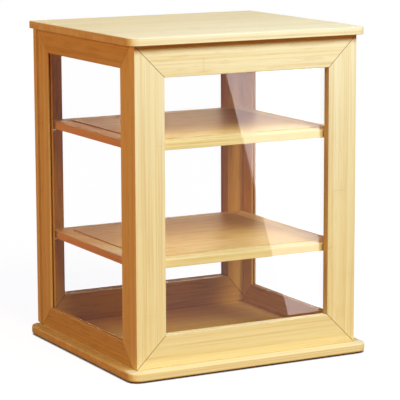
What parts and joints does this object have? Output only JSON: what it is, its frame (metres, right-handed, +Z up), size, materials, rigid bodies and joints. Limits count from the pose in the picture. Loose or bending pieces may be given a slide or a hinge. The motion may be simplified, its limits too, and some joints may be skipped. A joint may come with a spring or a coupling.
{
  "type": "countertop display bin",
  "caption": "Bamboo countertop display bin with clear panes on every side, fixed shelves and a framed rear door hinged at one side.",
  "frame": {"origin": "middle of the whole footprint, knob included, on the surface the bin stands on", "axes": "+X to the right seen from the front, +Y from the front pane to the rear door, +Z up"},
  "size_m": [0.366, 0.352, 0.4515],
  "materials": {
    "bamboo_frame": "clear satin lacquer on straight-grained bamboo",
    "bamboo_board": "clear satin lacquer on straight-grained bamboo",
    "bamboo_shelf": "clear satin lacquer on straight-grained bamboo",
    "knob_wood": "turned and lacquered bamboo",
    "dowel_wood": "plain",
    "clear_pane": "clear polished sheet",
    "hinge_brass": "satin",
    "steel": "bright zinc",
    "magnet_nickel": "nickel plated",
    "rubber_pad": "matt"
  },
  "bodies": {
    "cabinet": {"base_board": "bamboo_board", "top_board": "bamboo_board", "foot_pads": "rubber_pad", "base_screws": "steel", "top_dowels": "dowel_wood", "corner_dowels": "dowel_wood", "mitre_dowels": "dowel_wood", "front_left_stile": "bamboo_frame", "front_right_stile": "bamboo_frame", "front_top_rail": "bamboo_frame", "front_bottom_rail": "bamboo_frame", "front_pane": "clear_pane", "front_pane_screws": "steel", "left_front_stile": "bamboo_frame", "left_rear_stile": "bamboo_frame", "left_top_rail": "bamboo_frame", "left_bottom_rail": "bamboo_frame", "left_pane": "clear_pane", "right_front_stile": "bamboo_frame", "right_rear_stile": "bamboo_frame", "right_top_rail": "bamboo_frame", "right_bottom_rail": "bamboo_frame", "right_pane": "clear_pane", "back_left_stile": "bamboo_frame", "back_right_stile": "bamboo_frame", "back_top_rail": "bamboo_frame", "back_bottom_rail": "bamboo_frame", "upper_hinge_frame_leaf": "hinge_brass", "upper_hinge_pin": "hinge_brass", "lower_hinge_frame_leaf": "hinge_brass", "lower_hinge_pin": "hinge_brass", "hinge_frame_screws": "hinge_brass", "frame_magnets": "magnet_nickel", "upper_shelf_front_rail": "bamboo_shelf", "upper_shelf_rear_rail": "bamboo_shelf", "upper_shelf_left_rail": "bamboo_shelf", "upper_shelf_right_rail": "bamboo_shelf", "upper_shelf_panel": "bamboo_shelf", "upper_shelf_pins": "steel", "lower_shelf_front_rail": "bamboo_shelf", "lower_shelf_rear_rail": "bamboo_shelf", "lower_shelf_left_rail": "bamboo_shelf", "lower_shelf_right_rail": "bamboo_shelf", "lower_shelf_panel": "bamboo_shelf", "lower_shelf_pins": "steel"},
    "door": {"door_left_stile": "bamboo_frame", "door_right_stile": "bamboo_frame", "door_top_rail": "bamboo_frame", "door_bottom_rail": "bamboo_frame", "door_pane": "clear_pane", "door_mitre_dowels": "dowel_wood", "door_knob": "knob_wood", "knob_screw": "steel", "upper_hinge_door_leaf": "hinge_brass", "lower_hinge_door_leaf": "hinge_brass", "hinge_door_screws": "hinge_brass", "door_magnets": "magnet_nickel"}
  },
  "joints": [
    {"name": "door_hinge", "type": "hinge", "parent": "cabinet", "child": "door", "pos_m": [0.17115, 0.15, 0.2275], "axis": [0, 0, -1], "range_deg": [0, 180]}
  ]
}
